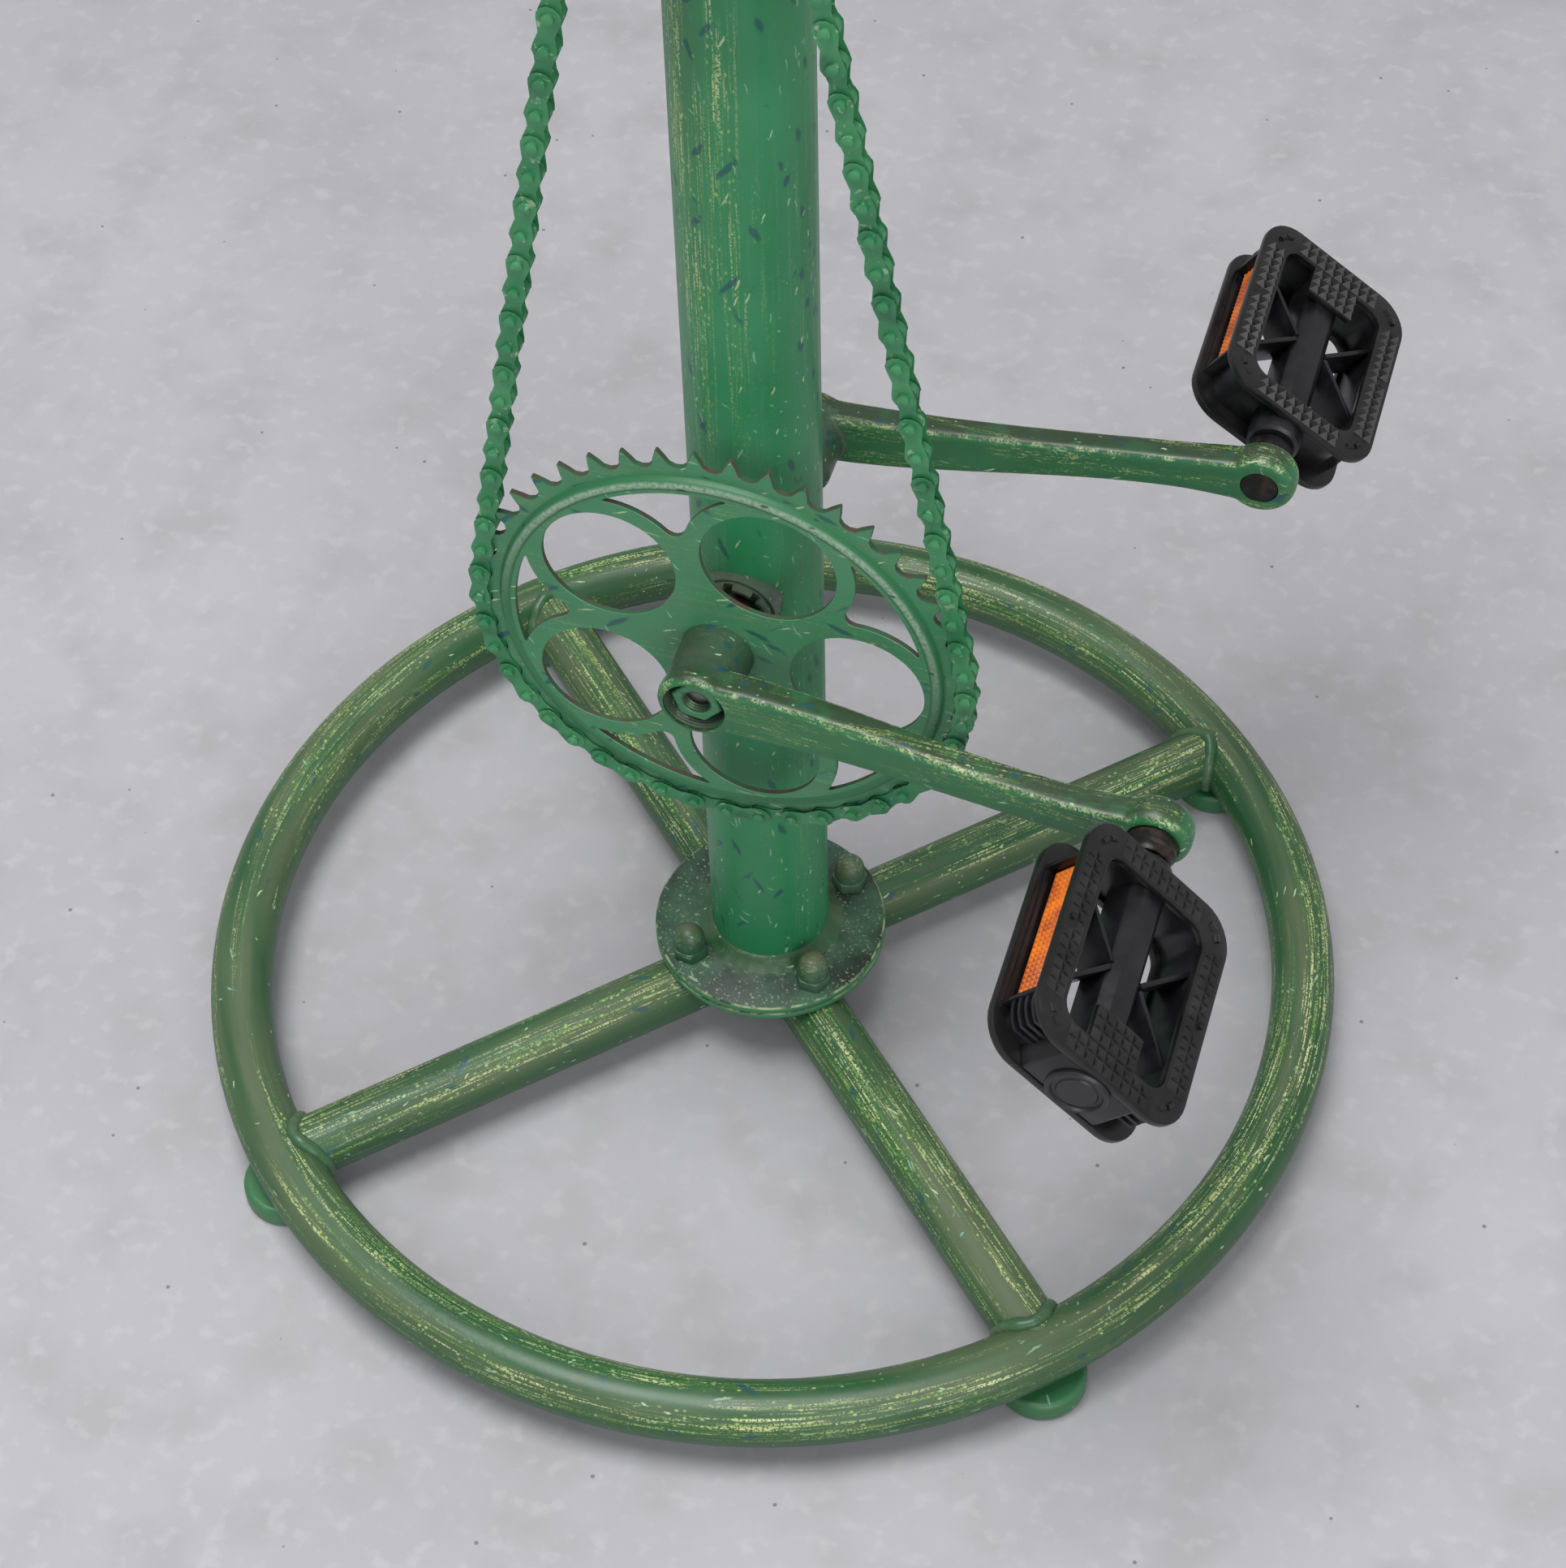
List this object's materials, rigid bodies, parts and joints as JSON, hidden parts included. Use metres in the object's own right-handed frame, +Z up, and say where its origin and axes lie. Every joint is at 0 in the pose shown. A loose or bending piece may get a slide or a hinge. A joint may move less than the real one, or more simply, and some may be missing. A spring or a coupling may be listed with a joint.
{
  "type": "bicycle pedal stool",
  "caption": "Pedal stool on a round tube base: post with chainring, chain to an upper sprocket, forward cranks with resin pedals, and a sprung saddle on a sliding tube.",
  "frame": {"origin": "on the floor, under the post's axis, at the middle of the ring base", "axes": "+Z up along the post, +X where both cranks point, crank axle along Y with the chain on the -Y side"},
  "size_m": [0.4569, 0.457, 0.7869],
  "materials": {
    "green_enamel": "satin green enamel, rubbed through to a pale undercoat on crests, with a dusty patina",
    "dark_enamel": "dark mottled grey-green enamel with paler rubbed rims",
    "bare_steel": "plain turned steel",
    "chromed_steel": "bright plated steel",
    "blacked_steel": "blacked steel with a little rust",
    "black_resin": "moulded black resin, slightly dusty",
    "amber_lens": "amber prismatic reflector plastic",
    "brown_leather": "thick brown saddle leather, waxed"
  },
  "bodies": {
    "stand": {"base_ring": "green_enamel", "base_hub": "green_enamel", "spoke_1": "green_enamel", "spoke_2": "green_enamel", "spoke_3": "green_enamel", "spoke_4": "green_enamel", "foot_1": "green_enamel", "foot_2": "green_enamel", "foot_3": "green_enamel", "foot_4": "green_enamel", "lower_flange": "dark_enamel", "upper_flange": "dark_enamel", "flange_studs": "dark_enamel", "dome_nuts": "green_enamel", "post": "green_enamel", "post_weld": "dark_enamel", "bracket_shell": "green_enamel", "bracket_cup_right": "green_enamel", "bracket_cup_left": "green_enamel", "bearing_right": "bare_steel", "bearing_left": "bare_steel", "chain_outer_plates": "green_enamel", "chain_inner_plates": "green_enamel", "chain_rollers": "green_enamel", "chain_pins": "green_enamel", "sprocket_boss": "green_enamel", "sprocket_axle": "bare_steel", "sprocket_nuts": "green_enamel", "seat_bush": "black_resin", "seat_collar": "green_enamel", "collar_bolt": "bare_steel"},
    "crankset": {"crank_axle": "bare_steel", "chainring": "green_enamel", "crank_right": "green_enamel", "crank_left": "green_enamel", "crank_nut_right": "green_enamel", "crank_nut_left": "green_enamel", "pedal_spindle_right": "blacked_steel", "pedal_spindle_left": "blacked_steel"},
    "pedal_right_unit": {"pedal_right": "black_resin", "pedal_cap_right": "black_resin", "reflectors_right": "amber_lens"},
    "pedal_left_unit": {"pedal_left": "black_resin", "pedal_cap_left": "black_resin", "reflectors_left": "amber_lens"},
    "sprocket": {"upper_sprocket": "green_enamel"},
    "seat": {"seat_tube": "chromed_steel", "saddle_clamp": "chromed_steel", "clamp_cheeks": "chromed_steel", "clamp_bolt": "chromed_steel", "saddle_rails": "chromed_steel", "saddle_springs": "chromed_steel", "saddle_pan": "blacked_steel", "saddle_cover": "brown_leather"}
  },
  "joints": [
    {"name": "crank_spin", "type": "hinge", "parent": "stand", "child": "crankset", "pos_m": [0, 0, 0.253], "axis": [0, 1, 0], "continuous": true, "deforming": ["chain_outer_plates", "chain_inner_plates", "chain_rollers", "chain_pins"]},
    {"name": "pedal_right_spin", "type": "hinge", "parent": "crankset", "child": "pedal_right_unit", "pos_m": [0.16497, -0.151, 0.25588], "axis": [0, 1, 0], "continuous": true},
    {"name": "pedal_left_spin", "type": "hinge", "parent": "crankset", "child": "pedal_left_unit", "pos_m": [0.16497, 0.151, 0.25588], "axis": [0, 1, 0], "continuous": true},
    {"name": "sprocket_spin", "type": "hinge", "parent": "stand", "child": "sprocket", "pos_m": [0, -0.0434, 0.57827], "axis": [0, 1, 0], "continuous": true},
    {"name": "seat_slide", "type": "slide", "parent": "stand", "child": "seat", "axis": [0, 0, 1], "range_m": [0, 0.04]}
  ],
  "couplings": [
    {"joint": "sprocket_spin", "follows": "crank_spin", "ratio": 2.75}
  ]
}
